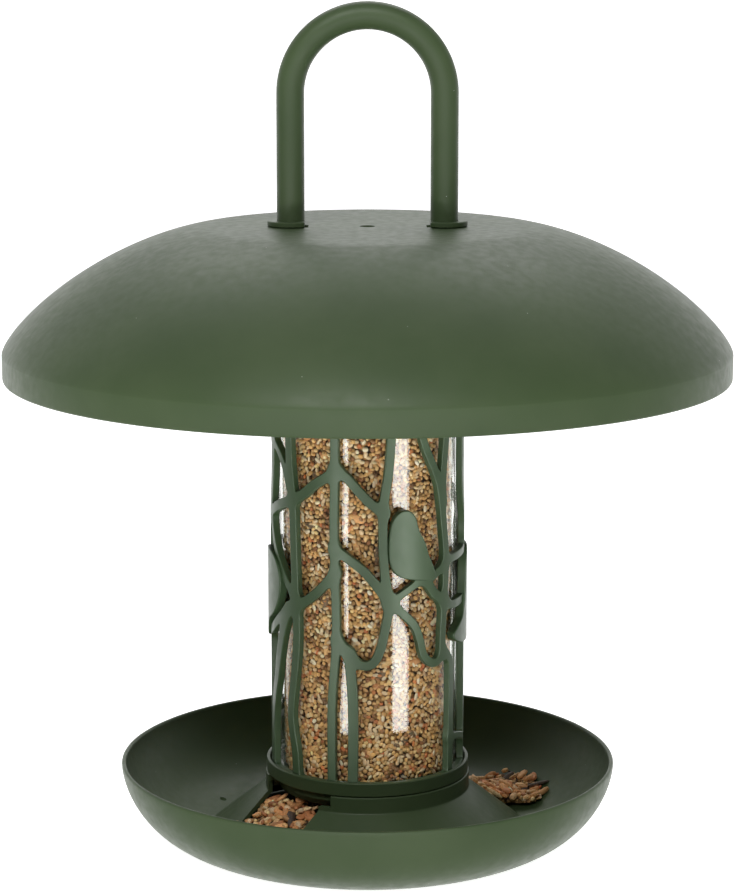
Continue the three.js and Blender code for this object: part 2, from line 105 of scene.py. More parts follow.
COLLAR_RADIUS = high("silo_collar").x
COLLAR_TOP_Z = high("silo_collar").z
COLLAR_FLOOR_Z = 33
COLLAR_BORE = 34

TUBE_RADIUS = high("clear_tube").x
TUBE_WALL = 1.6
SLEEVE_RADIUS = 40.5
SLEEVE_WALL = 2.9
SLEEVE_FOOT_Z = low("branch_sleeve").z
SLEEVE_TOP_Z = high("branch_sleeve").z
BIRD_PROUD = 1.2
TOP_BAND = 6

RING_RADIUS = high("top_ring").x
RING_TOP_Z = high("top_ring").z
RING_BORE = 24
RING_PLATE = 2.2
RING_SKIRT = 5.4
RING_SLOT = (25.6, 35)

ROOF_RADIUS = high("roof_dome").x
ROOF_RIM_Z = low("roof_dome").z
ROOF_SKIRT_Z = ROOF_RIM_Z + 10.7
ROOF_TOP_Z = high("roof_dome").z
ROOF_FLAT = 66
ROOF_WALL = 2.2
ROOF_CURVE = (1.56, 1.31)
ROOF_SLOT = (24.2, 34.8)
RIB_WALL = 1.6
RIB_HEIGHT = 4
DIMPLE_RADIUS = 3.2
DIMPLE_DEPTH = 1

FOOT_RADIUS = high("hanger_handle").y
FOOT_HEIGHT = 2.2
ROD_RADIUS = 5.7
ARCH_RADIUS = high("hanger_handle").x - FOOT_RADIUS
ARCH_CENTRE_Z = 315.1
PRONG_WIDTH = 8
PRONG_DEPTH = 4.4
PRONG_NOSE = 34.4
PRONG_NOSE_HEIGHT = 5.4

SEED_TOP_Z = high("seed_column").z


# ---------- mesh helpers ----------

SHARP_ANGLE = 32  # an edge stays sharp when its faces meet at more than this


def new_object(name, data):
    """An object of the given data, linked to the scene."""
    thing = bpy.data.objects.new(name, data)
    bpy.context.scene.collection.objects.link(thing)
    return thing


def new_piece(name, points, faces):
    """A piece from points in millimetres, with its faces pointing out."""
    mesh = bpy.data.meshes.new(name)
    mesh.from_pydata([Vector(p) * MM for p in points], [], faces)
    shell = bmesh.new()
    shell.from_mesh(mesh)
    bmesh.ops.recalc_face_normals(shell, faces=shell.faces)
    shell.to_mesh(mesh)
    shell.free()
    smooth(mesh)
    return new_object(name, mesh)


def smooth(mesh, sharp=SHARP_ANGLE):
    mesh.polygons.foreach_set("use_smooth", [True] * len(mesh.polygons))
    mesh.set_sharp_from_angle(angle=math.radians(sharp))


def settle(piece, material, slot, body, *nodes):
    """Gives a finished piece its material, its CAD body and the CAD nodes that it stands for."""
    piece.data.materials.clear()
    piece.data.materials.append(material)
    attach(piece, body)
    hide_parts(*nodes)


def spaced(start, end, steps):
    """Evenly spaced numbers from start to end, both included."""
    return [start + (end - start) * k / steps for k in range(steps + 1)]


def full_turn(sides):
    """The angles of a regular polygon's corners, in radians."""
    return [2 * math.pi * k / sides for k in range(sides)]


def on_cylinder(radius, degrees, z):
    angle = math.radians(degrees)
    return (radius * math.sin(angle), -radius * math.cos(angle), z)


def rounded(corners, steps=4, support=0.35):
    """A closed outline from (x, y, radius) corners, each turned into an arc between two support points."""
    outline = []
    for i, (x, y, radius) in enumerate(corners):
        here = Vector((x, y))
        if radius == 0:
            outline.append(here)
            continue
        back = (Vector(corners[i - 1][:2]) - here).normalized()
        ahead = (Vector(corners[(i + 1) % len(corners)][:2]) - here).normalized()
        half = back.angle(ahead) / 2
        reach = radius / math.tan(half)
        centre = here + (back + ahead).normalized() * radius / math.sin(half)
        first = here + back * reach - centre
        turn = first.angle_signed(here + ahead * reach - centre)
        outline.append(here + back * (reach + support))
        for step in range(steps + 1):
            spoke = first.copy()
            spoke.rotate(Matrix.Rotation(-turn * step / steps, 2))
            outline.append(centre + spoke)
        outline.append(here + ahead * (reach + support))
    return [tuple(point) for point in outline]


def lathe(name, profile, segments=SEGMENTS):
    """A closed profile of (radius, z) turned about Z. Points on the axis become one vertex each."""
    points, rings = [], []
    for radius, z in profile:
        if radius < 1e-6:
            rings.append([len(points)] * segments)
            points.append((0, 0, z))
            continue
        rings.append(list(range(len(points), len(points) + segments)))
        points += [on_cylinder(radius, 360 * k / segments, z) for k in range(segments)]
    faces = []
    for here, ahead in zip(rings, rings[1:] + rings[:1]):
        for k in range(segments):
            m = (k + 1) % segments
            face = list(dict.fromkeys((here[k], here[m], ahead[m], ahead[k])))
            if len(face) > 2:
                faces.append(face)
    return new_piece(name, points, faces)


def loft(name, rings):
    """A closed skin through rings of equal point counts, with a flat face over each end."""
    count = len(rings[0])
    points = [point for ring in rings for point in ring]
    faces = [list(range(count))[::-1], list(range(len(points) - count, len(points)))]
    for i in range(len(rings) - 1):
        for k in range(count):
            a, b = i * count + k, i * count + (k + 1) % count
            faces.append([a, b, b + count, a + count])
    return new_piece(name, points, faces)


def arc_block(r0, r1, z0, z1, start, end, steps=12):
    """A block bounded by two radii, two heights and two angles."""
    corners = ((r0, z0), (r1, z0), (r1, z1), (r0, z1))
    rings = [[on_cylinder(r, angle, z) for r, z in corners] for angle in spaced(start, end, steps)]
    return loft("block", rings)


def box_block(x0, x1, y0, y1, z0, z1):
    corners = ((x0, y0), (x1, y0), (x1, y1), (x0, y1))
    return loft("block", [[(*corner, z) for corner in corners] for z in (z0, z1)])


def rod_block(radius, x, y, z0, z1, sides=32):
    circle = [(x + radius * math.cos(a), y + radius * math.sin(a)) for a in full_turn(sides)]
    return loft("block", [[(*point, z) for point in circle] for z in (z0, z1)])


def combine(piece, others, operation):
    """Cuts other closed solids away from a piece, or joins them to it, and removes them."""
    for other in others:
        change = piece.modifiers.new(operation, "BOOLEAN")
        change.operation = operation
        change.solver = "EXACT"
        change.object = other
    bake_modifiers(piece)
    for other in others:
        bpy.data.objects.remove(other)
    smooth(piece.data)
    return piece


def bake_modifiers(piece):
    """Keeps the shape that the piece's modifiers give it, without them."""
    graph = bpy.context.evaluated_depsgraph_get()
    mesh = bpy.data.meshes.new_from_object(piece.evaluated_get(graph))
    piece.modifiers.clear()
    piece.data = mesh


def soften(piece, width, angle=40):
    """Rounds a piece's sharp edges by `width` millimetres."""
    bevel = piece.modifiers.new("soft_edges", "BEVEL")
    bevel.width = width * MM
    bevel.segments = 2
    bevel.limit_method = "ANGLE"
    bevel.angle_limit = math.radians(angle)
    bevel.harden_normals = True
    bake_modifiers(piece)


# ---------- materials ----------

MIX_SHARE, MIX_FIRST, MIX_SECOND, MIX_RESULT = 0, 6, 7, 2  # where a Mix node keeps its colour sockets


class Shader:
    """The nodes of a material or a world, with a short call for each kind used here."""

    def __init__(self, name, library="materials"):
        self.owner = getattr(bpy.data, library).new(name)
        self.owner.use_nodes = True
        self.tree = self.owner.node_tree
        self.tree.nodes.clear()
        self.place = self.add("TexCoord").outputs

    def add(self, kind, **settings):
        node = self.tree.nodes.new("ShaderNode" + kind)
        for key, value in settings.items():
            setattr(node, key, value)
        return node

    def feed(self, node, **inputs):
        """Sets a node's inputs, by link where the value is another node's output."""
        for key, value in inputs.items():
            socket = node.inputs[key.replace("_", " ")]
            if isinstance(value, bpy.types.NodeSocket):
                self.tree.links.new(value, socket)
            else:
                socket.default_value = value
        return node

    def noise(self, per_metre, detail):
        noise = self.feed(self.add("TexNoise"), Vector=self.place["Object"], Scale=per_metre, Detail=detail)
        return noise.outputs["Fac"]

    def cells(self, per_metre):
        return self.feed(self.add("TexVoronoi"), Vector=self.place["Object"], Scale=per_metre).outputs

    def spots(self, per_metre, size):
        """1 inside small scattered spots, 0 outside; size is a spot's radius as a share of their spacing."""
        return self.spread(self.cells(per_metre)["Distance"], size, 0.5 * size, 0, 1)

    def spread(self, value, from_low, from_high, to_low, to_high, shape="LINEAR"):
        """Maps a range of the value to another range, and holds it at both ends."""
        ends = {"From Min": from_low, "From Max": from_high, "To Min": to_low, "To Max": to_high}
        ramp = self.add("MapRange", interpolation_type=shape)
        return self.feed(ramp, Value=value, **ends).outputs["Result"]

    def mix(self, share, first, second):
        node = self.add("Mix", data_type="RGBA")
        for index, value in ((MIX_SHARE, share), (MIX_FIRST, first), (MIX_SECOND, second)):
            if isinstance(value, bpy.types.NodeSocket):
                self.tree.links.new(value, node.inputs[index])
            else:
                node.inputs[index].default_value = value
        return node.outputs[MIX_RESULT]

    def bump(self, height, distance_mm, strength=1.0, normal=None):
        node = self.add("Bump")
        self.feed(node, Height=height, Distance=distance_mm * MM, Strength=strength)
        if normal:
            self.feed(node, Normal=normal)
        return node.outputs["Normal"]

    def finish(self, surface, output="OutputMaterial"):
        self.feed(self.add(output), Surface=surface)
        return self.owner


def colour(red, green, blue):
    """A screen colour from 0 to 255, as the opaque linear colour that nodes take."""

    def linear(value):
        share = value / 255
        return share / 12.92 if share <= 0.04045 else ((share + 0.055) / 1.055) ** 2.4

    return (linear(red), linear(green), linear(blue), 1.0)


WHITE = (1, 1, 1, 1)
DUST = colour(196, 200, 190)
HUSK_FIBRE = colour(250, 220, 172)
# The gap colour is painted shade: the shadow between packed grains.
HUSK_DARK, HUSK_LIGHT, SEED_GAP_PAINTED_SHADE = colour(120, 72, 38), colour(214, 172, 108), colour(40, 25, 14)
STRAIGHT_ON = 0.03  # share of light that a clear wall mirrors when seen straight on


def moulded_plastic(name, deep, pale, roughness, dust):
    """Satin moulded plastic: faint flow clouds, a fine sparked grain, and dust specks of the given size."""
    s = Shader(name)
    clouds = s.noise(28, 3)
    streaks = s.noise(260, 4)
    body = s.mix(s.spread(clouds, 0.3, 0.7, 0, 1), deep, pale)
    body = s.mix(s.spread(streaks, 0.35, 0.75, 0, 0.18), body, pale)
    body = s.mix(s.spots(95, dust), body, DUST)
    grain = s.noise(3800, 2)
    surface = s.feed(
        s.add("BsdfPrincipled"),
        Base_Color=body,
        Roughness=s.spread(streaks, 0.3, 0.7, roughness - 0.05, roughness + 0.06),
        Specular_IOR_Level=0.3,
        Normal=s.bump(grain, 0.03, 0.35, s.bump(clouds, 0.15, 0.25)),
    )
    return s.finish(surface.outputs["BSDF"])


def clear_plastic():
    """A clear wall that shows what is behind it and mirrors lights more at a slant. Both its faces mirror."""
    s = Shader("clear_plastic")
    facing = s.feed(s.add("LayerWeight"), Blend=0.5)
    slant = s.feed(s.add("Math", operation="POWER"), Value=facing.outputs["Facing"])
    slant.inputs[1].default_value = 5
    share = s.spread(slant.outputs["Value"], 0, 1, STRAIGHT_ON, 1)
    haze = s.noise(70, 3)
    gloss = s.feed(
        s.add("BsdfGlossy"),
        Color=colour(252, 254, 252),
        Roughness=s.spread(haze, 0.3, 0.7, 0.02, 0.05),
        Normal=s.bump(haze, 0.05, 0.1),
    )
    through = s.feed(s.add("BsdfTransparent"), Color=colour(253, 253, 251))
    both = s.add("MixShader")
    s.tree.links.new(share, both.inputs[0])
    s.tree.links.new(through.outputs[0], both.inputs[1])
    s.tree.links.new(gloss.outputs[0], both.inputs[2])
    return s.finish(both.outputs[0])


def seed_skin(name, shade, pale_share):
    """Dry husk: each grain's own colour from the mesh, with blotches of the shade and pale fibres."""
    s = Shader(name)
    own = s.add("Attribute", attribute_name="tint").outputs["Color"]
    blotches = s.noise(900, 2)
    fibres = s.noise(4200, 2)
    body = s.mix(s.spread(blotches, 0.4, 0.75, 0, 0.4), own, shade)
    body = s.mix(s.spread(fibres, 0.45, 0.75, 0, pale_share), body, HUSK_FIBRE)
    surface = s.feed(
        s.add("BsdfPrincipled"),
        Base_Color=body,
        Roughness=s.spread(blotches, 0.3, 0.7, 0.5, 0.7),
        Normal=s.bump(fibres, 0.15, 0.5),
    )
    return s.finish(surface.outputs["BSDF"])


def packed_seed():
    """The seed behind the outer grains: small rounded cells, each in its own seed colour, with painted shade
    in the gaps between them.
    """
    s = Shader("packed_seed")
    cells = s.cells(560)
    own = s.feed(s.add("SeparateColor"), Color=cells["Color"])
    tone = s.mix(own.outputs["Red"], HUSK_DARK, HUSK_LIGHT)
    # Painted shade: each cell darkens towards its edge into the gap colour.
    body = s.mix(s.spread(cells["Distance"], 0.3, 0.75, 0, 1), tone, SEED_GAP_PAINTED_SHADE)
    surface = s.feed(
        s.add("BsdfPrincipled"),
        Base_Color=body,
        Roughness=s.spread(cells["Distance"], 0, 1, 0.7, 0.9),
        Normal=s.bump(cells["Distance"], -0.6),
    )
    return s.finish(surface.outputs["BSDF"])


# ---------- turned mouldings ----------


def dish_rise(radius, flat, rim, curve):
    """A flat centre that turns up into a steep rim: 0 at the flat's edge, 1 at the rim."""
    along = max(0.0, (radius - flat) / (rim - flat))
    return 1 - max(0.0, 1 - along ** curve[0]) ** (1 / curve[1])


def crowded(start, end, steps):
    """Radii from start to end that crowd towards the end, where the wall is steep."""
    return [start + (end - start) * math.sin(a) for a in spaced(0, math.pi / 2, steps)]


def tray_floor(radius):
    rise = dish_rise(radius, TRAY_FLAT, TRAY_RADIUS - TRAY_WALL, TRAY_CURVE)
    return TRAY_WALL + (TRAY_HEIGHT - TRAY_WALL) * rise


def tongue(angle, grow):
    """A tongue under the cone's foot, or the slot for it when grown by a clearance."""
    inner, outer = TONGUE_RADII
    bottom, top = TONGUE_Z
    half = TONGUE_SPAN / 2 + grow
    return arc_block(inner - grow, outer + grow, -1 if grow else bottom, top, angle - half, angle + half, 4)


def make_tray():
    """The dish, with its rim rounded over between the two walls."""
    lip = TRAY_WALL / 2
    outer = crowded(TRAY_FLAT, TRAY_RADIUS, 40)
    inner = crowded(TRAY_FLAT, TRAY_RADIUS - TRAY_WALL, 40)
    outside = [(r, (TRAY_HEIGHT - lip) * dish_rise(r, TRAY_FLAT, TRAY_RADIUS, TRAY_CURVE)) for r in outer]
    inside = [(r, min(tray_floor(r), TRAY_HEIGHT - lip)) for r in inner]
    rim = [
        (TRAY_RADIUS - lip + lip * math.cos(a), TRAY_HEIGHT - lip + lip * math.sin(a))
        for a in spaced(0, math.pi, 8)[1:-1]
    ]
    under = [(r, 0) for r in (0, 15, 30)]
    floor = [(r, TRAY_WALL) for r in (30, 15, 0)]
    tray = lathe("tray_dish", under + outside + rim + inside[::-1] + floor)
    cutters = [tongue(angle, GAP) for angle in TONGUE_ANGLES]
    for i in range(DRAIN_COUNT):
        x, y, _ = on_cylinder(DRAIN_CIRCLE, DRAIN_START + 360 / DRAIN_COUNT * i, 0)
        cutters.append(rod_block(DRAIN_RADIUS, x, y, -5, 15))
    return combine(tray, cutters, "DIFFERENCE")


def cone_radius(z):
    return NECK_RADIUS + (NECK_FOOT_Z - z) / CONE_SLOPE


def make_feed_cone():
    """The cone and its neck, with two opposite outlets and the bayonet's three slots in the flange."""
    wall = NECK_WALL * math.hypot(1, 1 / CONE_SLOPE)
    neck_inner = NECK_RADIUS - NECK_WALL
    profile = rounded(
        [
            (cone_radius(CONE_FOOT_Z), CONE_FOOT_Z, 0.3),
            (NECK_RADIUS, NECK_FOOT_Z, 0.8),
            (NECK_RADIUS, NECK_TOP_Z, 0.4),
            (FLANGE_RADIUS, NECK_TOP_Z, 0.3),
            (FLANGE_RADIUS, FLANGE_UNDER_Z, 0.3),
            (neck_inner, FLANGE_UNDER_Z, 0.3),
            (neck_inner, NECK_FOOT_Z - 1, 0.3),
            (cone_radius(CONE_FOOT_Z) - wall, CONE_FOOT_Z, 0.3),
        ]
    )
    cone = lathe("feed_cone_moulding", profile)
    combine(cone, [tongue(angle, 0) for angle in TONGUE_ANGLES], "UNION")
    half, reach = OUTLET_WIDTH / 2, cone_radius(0)
    span = math.degrees(math.asin(half / NECK_RADIUS))
    past_lugs = FLANGE_RADIUS + LUG_REACH
    flange = (FLANGE_UNDER_Z - 1, NECK_TOP_Z + 1)
    cutters = []
    for angle in (OUTLET_ANGLE, OUTLET_ANGLE + 180):
        opening = box_block(-half, half, -reach, 0, OUTLET_STEP_Z, FLANGE_UNDER_Z)
        slot = box_block(-half, half - OUTLET_SET_IN, -reach, 0, 0, OUTLET_STEP_Z + 1)
        for block in (opening, slot):
            block.data.transform(Matrix.Rotation(math.radians(angle), 4, "Z"))
            cutters.append(block)
        # The opening goes on as a notch up to the neck's top, outside the flange that the lugs hold.
        cutters.append(arc_block(past_lugs, NECK_RADIUS + 1, *flange, angle - span, angle + span))
    for angle in LUG_ANGLES:
        start = angle + BAYONET_TURN - LUG_SPAN / 2 - 2
        cutters.append(arc_block(COLLAR_BORE, past_lugs + GAP, *flange, start, start + LUG_SPAN + 4))
    combine(cone, cutters, "DIFFERENCE")
    soften(cone, 0.25)
    return cone


def make_seed_spreader():
    foot = TRAY_WALL + GAP
    (edge, edge_z), *slope = SPREADER
    profile = rounded([(edge, foot, 0.3), (edge, edge_z, 0.3)] + [(r, z, 0) for r, z in slope])
    return lathe("seed_spreader_moulding", [(0, foot)] + profile)


def make_silo_collar():
    """The socket ring: an upright lip round the sleeve, a floor, and a skirt with bayonet lugs below."""
    under = NECK_TOP_Z + GAP
    lug_top = FLANGE_UNDER_Z - 0.4
    skirt_bottom = lug_top - LUG_HEIGHT
    skirt_outer = FLANGE_RADIUS - 0.4
    skirt_inner = skirt_outer - SKIRT_WALL
    groove = SLEEVE_RADIUS + 0.6
    profile = rounded(
        [
            (COLLAR_RADIUS, under, 0.45),
            (COLLAR_RADIUS, COLLAR_TOP_Z, 0.5),
            (groove, COLLAR_TOP_Z, 0.4),
            (groove, COLLAR_FLOOR_Z, 0.3),
            (COLLAR_BORE, COLLAR_FLOOR_Z, 0.3),
            (COLLAR_BORE, under, 0.3),
            (skirt_inner, under, 0.3),
            (skirt_inner, skirt_bottom, 0.3),
            (skirt_outer, skirt_bottom, 0.3),
            (skirt_outer, under, 0.3),
        ],
        support=0.2,
    )
    collar = lathe("silo_collar_moulding", profile)
    half = LUG_SPAN / 2
    lugs = [
        arc_block(skirt_outer - 1, skirt_outer + LUG_REACH, skirt_bottom + 0.05, lug_top, a - half, a + half)
        for a in LUG_ANGLES
    ]
    return combine(collar, lugs, "UNION")


def make_clear_tube():
    inner = TUBE_RADIUS - TUBE_WALL
    foot, top = low("clear_tube").z, high("clear_tube").z
    corners = [(TUBE_RADIUS, foot), (TUBE_RADIUS, top), (inner, top), (inner, foot)]
    return lathe("clear_tube_wall", rounded([(r, z, 0.4) for r, z in corners]), 192)


def prong_slot(side, near, far, bottom, top):
    half = PRONG_WIDTH / 2 + 0.6
    x0, x1 = sorted((side * near, side * far))
    return box_block(x0, x1, -half, half, bottom, top)


def make_top_ring():
    """The cap of the tube and the sleeve: a plate with a wide hole, a skirt below and a rim above."""
    inner = SLEEVE_RADIUS + 0.4
    under = SLEEVE_TOP_Z + GAP
    plate = under + RING_PLATE
    corners = [
        (RING_BORE, under),
        (inner, under),
        (inner, under - RING_SKIRT),
        (RING_RADIUS, under - RING_SKIRT),
        (RING_RADIUS, RING_TOP_Z),
        (RING_RADIUS - 2, RING_TOP_Z),
        (RING_RADIUS - 2, plate),
        (RING_BORE, plate),
    ]
    ring = lathe("top_ring_moulding", rounded([(r, z, 0.3) for r, z in corners]))
    slots = [prong_slot(side, *RING_SLOT, under - 1, plate + 1) for side in (-1, 1)]
    return combine(ring, slots, "DIFFERENCE")


def roof_surface(radius, rim, top):
    return top - (top - ROOF_SKIRT_Z) * dish_rise(radius, ROOF_FLAT, rim, ROOF_CURVE)


def make_roof_dome():
    """The dome: a flat centre, a curve that steepens to a short upright skirt, and a rib below."""
    inner_top = ROOF_TOP_Z - ROOF_WALL
    inner_rim = ROOF_RADIUS - ROOF_WALL
    lip = ROOF_WALL / 2
    outside = [(r, roof_surface(r, ROOF_RADIUS, ROOF_TOP_Z)) for r in crowded(ROOF_FLAT, ROOF_RADIUS, 56)]
    inside = [(r, roof_surface(r, inner_rim, inner_top)) for r in crowded(ROOF_FLAT, inner_rim, 40)]
    rim = [
        (ROOF_RADIUS - lip + lip * math.cos(a), ROOF_RIM_Z + lip - lip * math.sin(a))
        for a in spaced(0, math.pi, 8)
    ]
    rib_inner = RING_RADIUS + 0.6
    rib_outer = rib_inner + RIB_WALL
    rib_foot = inner_top - RIB_HEIGHT
    rib = [(rib_outer, inner_top), (rib_outer, rib_foot), (rib_inner, rib_foot), (rib_inner, inner_top)]
    flat = [(r, ROOF_TOP_Z) for r in (0, 6, 14, 22, 36, 48, 58)]
    profile = flat + outside + rim + inside[::-1] + rib
    dome = lathe("roof_dome_shell", profile + [(r, inner_top) for r in (30, 12, 0)])
    cutters = [prong_slot(side, *ROOF_SLOT, inner_top - 1, ROOF_TOP_Z + 1) for side in (-1, 1)]
    cutters.append(rod_block(DIMPLE_RADIUS, 0, 0, ROOF_TOP_Z - DIMPLE_DEPTH, ROOF_TOP_Z + 1))
    return combine(dome, cutters, "DIFFERENCE")


# ---------- handle ----------


def make_handle():
    """A round rod bent into a U, with a D-shaped flange and a snap prong at each foot."""
    bottom = ROOF_TOP_Z + GAP / 2
    straight = ARCH_CENTRE_Z - bottom - 0.5
    drops = spaced(0, straight, 8)[1:]
    path = [(-ARCH_RADIUS, ARCH_CENTRE_Z - drop, 0) for drop in drops[::-1]]
    path += [
        (-ARCH_RADIUS * math.cos(a), ARCH_CENTRE_Z + ARCH_RADIUS * math.sin(a), a)
        for a in spaced(0, math.pi, 48)
    ]
    path += [(ARCH_RADIUS, ARCH_CENTRE_Z - drop, math.pi) for drop in drops]
    rings = []
    for x, z, bend in path:
        ring = []
        for a in full_turn(40):
            reach = ROD_RADIUS * math.cos(a)
            ring.append((x - reach * math.cos(bend), ROD_RADIUS * math.sin(a), z + reach * math.sin(bend)))
        rings.append(ring)
    handle = loft("hanger_handle_rod", rings)
    feet = [shape(side, bottom) for side in (-1, 1) for shape in (foot_flange, prong)]
    return combine(handle, feet, "UNION")


def foot_flange(side, bottom):
    """A D-shaped plate whose flat side is flush with the inner side of the leg."""
    cut = math.acos(ROD_RADIUS / FOOT_RADIUS)
    turns = spaced(cut - math.pi, math.pi - cut, 40)
    outline = [(side * (ARCH_RADIUS + FOOT_RADIUS * math.cos(a)), FOOT_RADIUS * math.sin(a)) for a in turns]
    top = bottom + FOOT_HEIGHT
    edge = 0.35
    levels = [(bottom, edge), (bottom + edge, 0), (top - edge, 0), (top, edge)]
    centre = side * ARCH_RADIUS
    rings = []
    for z, inset in levels:
        share = 1 - inset / FOOT_RADIUS
        rings.append([(centre + (x - centre) * share, y * share, z) for x, y in outline])
    return loft("flange", rings)


def prong(side, bottom):
    """The snap prong below a foot, its nose drawn squeezed in, clear of the ring's slot."""
    inner = ARCH_RADIUS - ROD_RADIUS + GAP
    back = inner + PRONG_DEPTH
    catch_z = SLEEVE_TOP_Z + GAP - 0.5
    tip_z = catch_z - PRONG_NOSE_HEIGHT
    outline = [
        (inner, bottom + 1),
        (back, bottom + 1),
        (back, catch_z),
        (PRONG_NOSE, catch_z),
        (back, tip_z),
        (inner, tip_z),
    ]
    half = PRONG_WIDTH / 2
    return loft("prong", [[(side * x, y, z) for x, z in outline] for y in (-half, half)])


# ---------- branch sleeve ----------

# Branches of one half of the sleeve, as in the CAD model: width, then [angle, height] along the branch.
TOP, FOOT = 252, 30
BRANCHES = (
    # trunks, from left to right
    (4.6, (-78, TOP), (-75, 200), (-75, 172), (-77, 157), (-82, 146), (-90, 134)),
    (5, (-78, FOOT), (-78, 52), (-75, 64), (-69, 76), (-65, 87), (-60, 97), (-54, 106)),
    (4.2, (-47, FOOT), (-48, 44), (-51, 54), (-52, 63), (-48, 83), (-46.6, 98),
     (-48.4, 125), (-50, 151), (-53.5, 178), (-50, 212), (-46, TOP)),
    (3.7, (-21.5, FOOT), (-21.5, 68), (-18.7, 98), (-20, 140), (-19.5, 168), (-20, 190),
     (-24, 215), (-22, TOP)),
    (4.3, (-8.8, FOOT), (-8.6, 68), (-11, 91)),
    (3.8, (13, TOP), (15, 205), (13, 170), (10, 155), (9, 142), (10, 125), (12.8, 112),
     (10.5, 101), (7.5, 92), (3, 86.5), (-4, 86), (-10.5, 90), (-18, 96)),
    (3.9, (58, FOOT), (59.5, 76), (56.5, 85), (50.5, 89), (51.5, 106), (53.5, 127),
     (50.3, 147), (50.5, 162), (53.5, 180), (59, 212), (60, TOP)),
    (4.4, (86, TOP), (80, 200), (78, 170), (80, 152), (90, 134), (90, 104), (86, 78), (88, FOOT)),
    # cross branches on the left
    (3.2, (-77, 175), (-68, 172), (-60, 167), (-53, 157)),
    (4.2, (-88, 139), (-72, 146), (-45, 153.5), (-32, 160), (-19.5, 165.5)),
    (3.6, (-81, 144), (-73, 132), (-63, 122.5), (-47, 110)),
    (4, (-90, 91.5), (-77, 94.5), (-55, 105), (-42, 109.5), (-31, 115), (-19, 124)),
    # cross branches in the middle
    (3.9, (-19, 167), (-12, 163.5), (-5, 158), (2, 153), (10, 149)),
    (3.8, (-20, 134), (-10, 129.5), (0, 123.5), (13, 111.5)),
    (3, (13, 111.5), (23, 116), (33, 120)),
    (4.2, (33, 121), (38, 118), (44, 113), (52, 109)),
    (3.6, (13, 112), (21, 107), (28.5, 101.5), (32.5, 95), (35, 88.5), (40, 84.8), (46, 84.5), (52, 88)),
    # cross branches on the right
    (3.6, (50.5, 151), (46.5, 159.5), (42, 166.5), (36, 175), (27, 192), (15, 208)),
    (3.4, (42, 121), (48, 123), (56, 126), (65, 126.5), (84, 127)),
    (3.6, (52, 109.5), (58, 107), (67, 106.5), (88, 107)),
    (3, (58.5, 50), (70, 49), (88, 45)),
)

# Outlines of the two birds of one half, each (angle, height), from the beak round over the tail.
BIRDS = (
    (
        (28.6, 146.3), (25.5, 149.3), (20.6, 150), (16.2, 148.2), (13.4, 144), (12.2, 137.5), (12.3, 131),
        (14, 126), (18, 122.8), (24, 121.2), (31, 120.4), (38, 119.6), (42.6, 120.4), (41, 125),
        (37.4, 130.4), (34.4, 136.3), (30.9, 140.8), (29.4, 144.2),
    ),
    (
        (86, 126), (93, 128), (104, 127.5), (112, 126), (117.5, 122), (120, 116.5), (119, 110.5),
        (115, 105), (109, 101), (101, 98), (95, 93), (88, 88.5), (74, 88.5), (62, 91), (59, 94), (64, 96.5),
        (72, 100), (77, 106), (79.5, 113), (81, 120),
    ),
)

CELL = 0.93  # spacing of the grid that the outlines are traced on
PER_DEGREE = math.radians(SLEEVE_RADIUS)
HALF_TURN = 180 * PER_DEGREE
SOFT_EDGE = 0.45
BIRD_EDGE = 0.6
BIRD_SINK = 0.3  # how far outside the sleeve's bore the back of a bird lies
JOINT_FILLET = 3.2  # how far from each other two branches begin to flow together


def through(points, closed=False, steps=6):
    """A smooth curve through the points (Catmull-Rom), as an array of (along, z)."""
    p = np.array(points, float)
    if closed:
        p = np.vstack([p[-1], p, p[0], p[1]])
    else:
        p = np.vstack([2 * p[0] - p[1], p, 2 * p[-1] - p[-2]])
    curve = []
    for a, b, c, d in zip(p, p[1:], p[2:], p[3:]):
        square = 2 * a - 5 * b + 4 * c - d
        cube = 3 * b - a - 3 * c + d
        for t in (k / steps for k in range(steps)):
            curve.append(0.5 * (2 * b + (c - a) * t + square * t**2 + cube * t**3))
    if not closed:
        curve.append(p[-2])
    return np.array(curve)


def on_grid():
    """The unrolled half of the sleeve as a grid of distances along and heights, which repeats."""
    columns = round(HALF_TURN / CELL)
    along = -HALF_TURN / 2 + HALF_TURN / columns * np.arange(columns)
    height = np.arange(SLEEVE_FOOT_Z - 2 * CELL, SLEEVE_TOP_Z + 2 * CELL, CELL)
    return np.meshgrid(along, height, indexing="ij")


def distance_to(curve, u, v, closed=False):
    """Distance from each grid point to a curve of straight steps, in the nearest of its repeats."""
    nearest = np.full(u.shape, np.inf)
    following = np.roll(curve, -1, axis=0) if closed else curve[1:]
    for start, end in zip(curve, following):
        step = end - start
        length = max(step @ step, 1e-9)
        du = (u - start[0] + HALF_TURN / 2) % HALF_TURN - HALF_TURN / 2
        dv = v - start[1]
        share = np.clip((du * step[0] + dv * step[1]) / length, 0, 1)
        nearest = np.minimum(nearest, np.hypot(du - share * step[0], dv - share * step[1]))
    return nearest


def is_inside(outline, u, v):
    """True for the grid points inside a closed outline, in the nearest of its repeats."""
    middle = outline[:, 0].mean()
    u = (u - middle + HALF_TURN / 2) % HALF_TURN - HALF_TURN / 2 + middle
    crossings = np.zeros(u.shape, int)
    for (u0, v0), (u1, v1) in zip(outline, np.roll(outline, -1, axis=0)):
        between = (v0 > v) != (v1 > v)
        crossings += between & (u < (u1 - u0) * (v - v0) / (v1 - v0 + 1e-12) + u0)
    return crossings % 2 == 1


def flow_together(first, second, reach):
    """Joins two distance fields with a fillet where both are near."""
    near = np.maximum(reach - abs(first - second), 0) / reach
    return np.minimum(first, second) - near**2 * reach / 4


